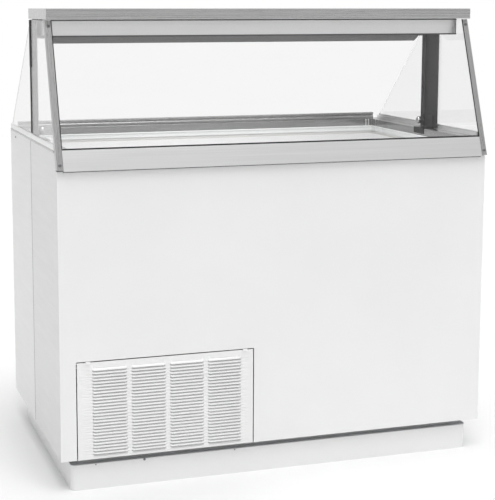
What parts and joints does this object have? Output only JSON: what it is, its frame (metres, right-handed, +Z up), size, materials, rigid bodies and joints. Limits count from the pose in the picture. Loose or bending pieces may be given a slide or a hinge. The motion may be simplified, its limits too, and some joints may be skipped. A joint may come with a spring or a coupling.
{
  "type": "ice cream dipping cabinet",
  "caption": "Chest freezer for scooping ice cream: white box body on a plinth, open stepped tank with lift-out tub collars, sloped glass canopy with a lit cap, louvred grille.",
  "frame": {"origin": "on the floor under the middle of the cabinet, halfway across its width; halfway between the canopy's front edge and the rear panel", "axes": "+X to the customer's right, +Y from the customer's side to the server's side, +Z up"},
  "size_m": [1.21, 0.7384, 1.252],
  "materials": {
    "white_enamel": "satin",
    "base_enamel": "satin",
    "shadow_grey": "matte",
    "stainless": "satin",
    "polished_steel": "polished",
    "dark_steel": "satin",
    "clear_glass": "gloss",
    "white_plastic": "gloss",
    "liner_white": "gloss",
    "foam": "matte",
    "galvanised": "satin",
    "black_paint": "satin",
    "black_plastic": "matte",
    "black_rubber": "matte",
    "copper": "satin",
    "fins": "satin",
    "lamp_white": "gloss",
    "collar_steel": "satin"
  },
  "bodies": {
    "cabinet": {"base_plinth": "base_enamel", "base_spacer": "shadow_grey", "bottom_pan": "galvanised", "front_panel": "white_enamel", "side_panel_left_front": "white_enamel", "side_panel_left_rear": "white_enamel", "side_panel_right_front": "white_enamel", "side_panel_right_rear": "white_enamel", "rear_panel": "white_enamel", "grille_clips": "galvanised", "rear_vent": "white_enamel", "tank_liner": "liner_white", "breaker_strip": "white_plastic", "top_rim": "polished_steel", "rear_rail": "polished_steel", "foam_insulation": "foam", "compartment_shell": "galvanised", "tank_ledges": "collar_steel", "drain_tube": "white_plastic", "evaporator_coil": "copper", "compressor_tray": "galvanised", "compressor": "black_paint", "compressor_grommets": "black_rubber", "relay_box": "black_plastic", "condenser_coil": "fins", "fan_shroud": "galvanised", "fan_motor": "dark_steel", "filter_drier": "copper", "refrigerant_lines": "copper", "thermostat_housing": "black_plastic", "power_inlet_gland": "black_plastic", "front_fascia": "stainless", "trim_left": "stainless", "trim_right": "stainless", "front_glass": "clear_glass", "side_glass_left": "clear_glass", "side_glass_right": "clear_glass", "side_channels": "stainless", "canopy_cap": "stainless", "canopy_deck_plate": "stainless", "light_hood": "stainless", "lamp_tube": "lamp_white", "lamp_sockets": "white_plastic", "lamp_ballast": "galvanised", "light_switch_bezel": "black_plastic", "post_left": "dark_steel", "post_right": "dark_steel", "post_feet": "dark_steel", "canopy_screws": "dark_steel"},
    "grille_panel": {"grille_panel": "white_enamel"},
    "thermostat_knob": {"thermostat_knob": "black_plastic"},
    "light_switch_rocker": {"light_switch_rocker": "black_plastic"},
    "fan_blade": {"fan_blade": "fins"},
    "drain_plug": {"drain_plug": "black_rubber"},
    "tub_collar_left": {"tub_collar_left": "collar_steel"},
    "tub_collar_right": {"tub_collar_right": "collar_steel"},
    "storage_shelf": {"storage_shelf": "collar_steel"},
    "thumb_screw_left": {"thumb_screw_left": "dark_steel"},
    "thumb_screw_right": {"thumb_screw_right": "dark_steel"}
  },
  "joints": [
    {"name": "grille_pull", "type": "slide", "parent": "cabinet", "child": "grille_panel", "axis": [0, -1, 0], "range_m": [0, 0.12]},
    {"name": "thermostat_turn", "type": "hinge", "parent": "cabinet", "child": "thermostat_knob", "pos_m": [-0.5, 0.3694, 0.38], "axis": [0, 1, 0], "range_deg": [-140, 140]},
    {"name": "light_switch_rock", "type": "hinge", "parent": "cabinet", "child": "light_switch_rocker", "pos_m": [0.455, -0.008, 1.19], "axis": [1, 0, 0], "range_deg": [0, 14]},
    {"name": "fan_spin", "type": "hinge", "parent": "cabinet", "child": "fan_blade", "pos_m": [-0.36, -0.238, 0.235], "axis": [0, 1, 0], "continuous": true},
    {"name": "drain_plug_pull", "type": "slide", "parent": "cabinet", "child": "drain_plug", "axis": [0, 0, 1], "range_m": [0, 0.12]},
    {"name": "tub_collar_left_lift", "type": "slide", "parent": "cabinet", "child": "tub_collar_left", "axis": [0, 0, 1], "range_m": [0, 0.15]},
    {"name": "tub_collar_right_lift", "type": "slide", "parent": "cabinet", "child": "tub_collar_right", "axis": [0, 0, 1], "range_m": [0, 0.15]},
    {"name": "storage_shelf_lift", "type": "slide", "parent": "cabinet", "child": "storage_shelf", "axis": [0, 0, 1], "range_m": [0, 0.2]},
    {"name": "thumb_screw_left_turn", "type": "hinge", "parent": "cabinet", "child": "thumb_screw_left", "pos_m": [-0.574, 0.002, 0.918], "axis": [1, 0, 0], "range_deg": [0, 720]},
    {"name": "thumb_screw_right_turn", "type": "hinge", "parent": "cabinet", "child": "thumb_screw_right", "pos_m": [0.574, 0.002, 0.918], "axis": [-1, 0, 0], "range_deg": [0, 720]}
  ]
}
